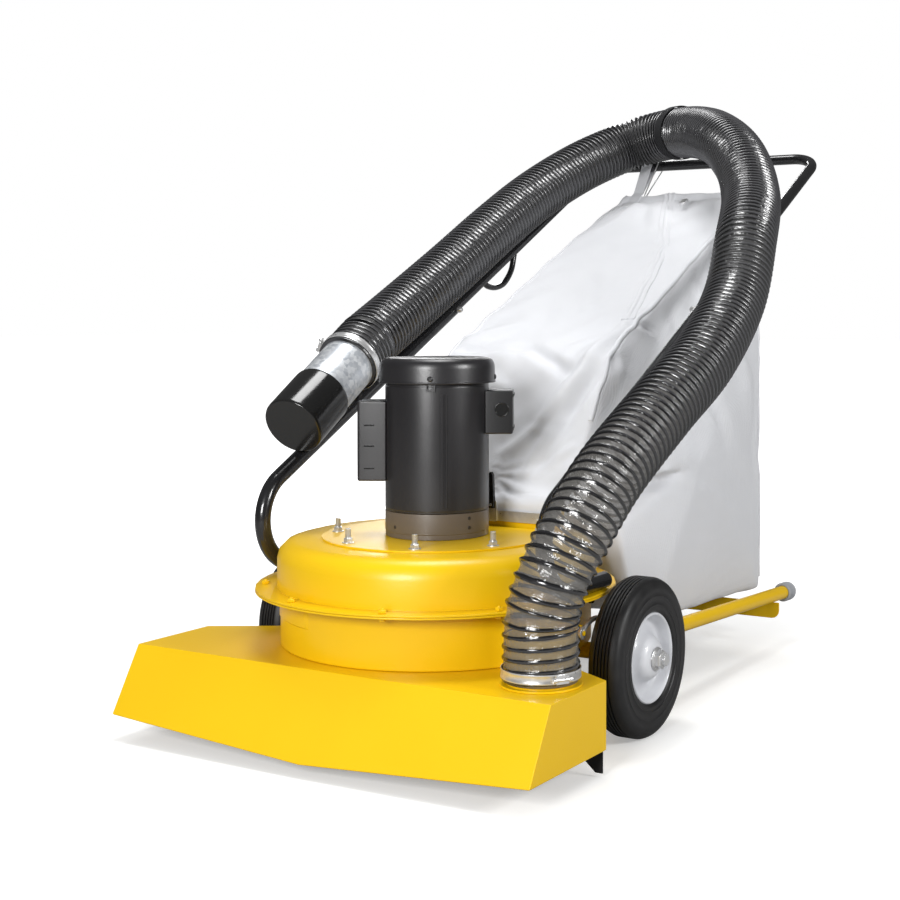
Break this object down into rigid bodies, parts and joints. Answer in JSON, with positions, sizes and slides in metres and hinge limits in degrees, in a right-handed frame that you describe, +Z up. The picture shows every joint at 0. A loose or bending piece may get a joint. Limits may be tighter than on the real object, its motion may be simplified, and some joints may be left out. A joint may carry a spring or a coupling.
{
  "type": "walk_behind_floor_vacuum",
  "caption": "Walk-behind floor vacuum with a wide sheet-metal nozzle, bolted fan housing, upright motor, two wheels, tube handle, cloth bag and a hose with a capped wand",
  "frame": {"origin": "On the floor, under the middle of the machine's bounding box without its hose", "axes": "+Z up, -Y towards the nozzle's front lip, +X to the side where the hose joins the nozzle"},
  "size_m": [0.8212, 1.4116, 1.1317],
  "materials": {
    "yellow": "glossy powder coat",
    "black_paint": "satin powder coat",
    "motor_grey": "semi-gloss enamel",
    "taupe": "semi-gloss enamel",
    "steel": "zinc plated",
    "galvanised": "spangled zinc",
    "copper": "varnished windings",
    "rubber": "matt",
    "tyre": "matt",
    "grey_rubber": "matt",
    "white_paint": "glossy enamel",
    "black_plastic": "glossy",
    "cloth": "woven filter cloth",
    "webbing": "webbing"
  },
  "bodies": {
    "chassis": {"nozzle_shell": "yellow", "duct_floor": "yellow", "rear_flap": "rubber", "caster_plate": "steel", "housing_lower": "yellow", "housing_upper": "yellow", "mounting_plate": "yellow", "motor_end_bell": "taupe", "motor_shell": "motor_grey", "motor_fan_cap": "motor_grey", "bearing_lower": "steel", "bearing_upper": "steel", "stator": "copper", "capacitor_box": "motor_grey", "terminal_box": "black_plastic", "axle": "steel", "axle_tube": "yellow", "axle_nut_left": "steel", "axle_nut_right": "steel", "rail_left": "yellow", "rail_right": "yellow", "rail_cap_left": "grey_rubber", "rail_cap_right": "grey_rubber", "cross_plate": "yellow", "handle_leg_left": "black_paint", "handle_leg_right": "black_paint", "handle_grip": "black_paint", "leg_bolt_left": "steel", "leg_bolt_right": "steel", "stub_bolt_left": "black_paint", "stub_bolt_right": "black_paint", "discharge_chute": "yellow", "neck_band": "steel", "bag": "cloth", "bag_strap": "cloth", "hose_collar": "yellow", "hose": "black_plastic", "hose_cuff_lower": "black_plastic", "hose_cuff_upper": "black_plastic", "hose_clamp_lower": "steel", "hose_clamp_upper": "steel", "hose_strap": "webbing", "wand": "galvanised", "lever_bracket": "yellow"},
    "wheel_right": {"tyre_right": "tyre", "rim_right": "white_paint"},
    "wheel_left": {"tyre_left": "tyre", "rim_left": "white_paint"},
    "rotor": {"impeller": "steel", "motor_shaft": "steel", "rotor_core": "steel", "cooling_fan": "black_plastic"},
    "caster_swivel": {"caster_fork": "steel"},
    "caster_roller": {"caster_wheel": "rubber"},
    "end_cap": {"wand_cap": "black_plastic"},
    "band_lever": {"neck_lever": "black_plastic"},
    "flow_lever": {"side_lever": "steel"},
    "zip_pull": {"zip_slider": "steel"}
  },
  "joints": [
    {"name": "wheel_right_spin", "type": "hinge", "parent": "chassis", "child": "wheel_right", "pos_m": [0.33, -0.26684, 0.127], "axis": [1, 0, 0], "continuous": true},
    {"name": "wheel_left_spin", "type": "hinge", "parent": "chassis", "child": "wheel_left", "pos_m": [-0.33, -0.26684, 0.127], "axis": [1, 0, 0], "continuous": true},
    {"name": "fan_spin", "type": "hinge", "parent": "chassis", "child": "rotor", "pos_m": [0, -0.35284, 0.3], "axis": [0, 0, 1], "continuous": true},
    {"name": "caster_turn", "type": "hinge", "parent": "chassis", "child": "caster_swivel", "pos_m": [0, -0.59284, 0.1], "axis": [0, 0, 1], "continuous": true},
    {"name": "caster_spin", "type": "hinge", "parent": "caster_swivel", "child": "caster_roller", "pos_m": [0, -0.56484, 0.045], "axis": [1, 0, 0], "continuous": true},
    {"name": "end_cap_pull", "type": "slide", "parent": "chassis", "child": "end_cap", "axis": [0.0797, -0.8574, -0.5084], "range_m": [0, 0.15]},
    {"name": "neck_band_lever", "type": "hinge", "parent": "chassis", "child": "band_lever", "pos_m": [0.033, -0.23664, 0.3478], "axis": [0, 1, 0], "range_deg": [0, 100]},
    {"name": "side_lever_lift", "type": "hinge", "parent": "chassis", "child": "flow_lever", "pos_m": [0.285, -0.37984, 0.181], "axis": [1, 0, 0], "range_deg": [0, 28]},
    {"name": "bag_zip", "type": "slide", "parent": "chassis", "child": "zip_pull", "axis": [0, -0.8972, -0.4416], "range_m": [0, 0.42]}
  ]
}
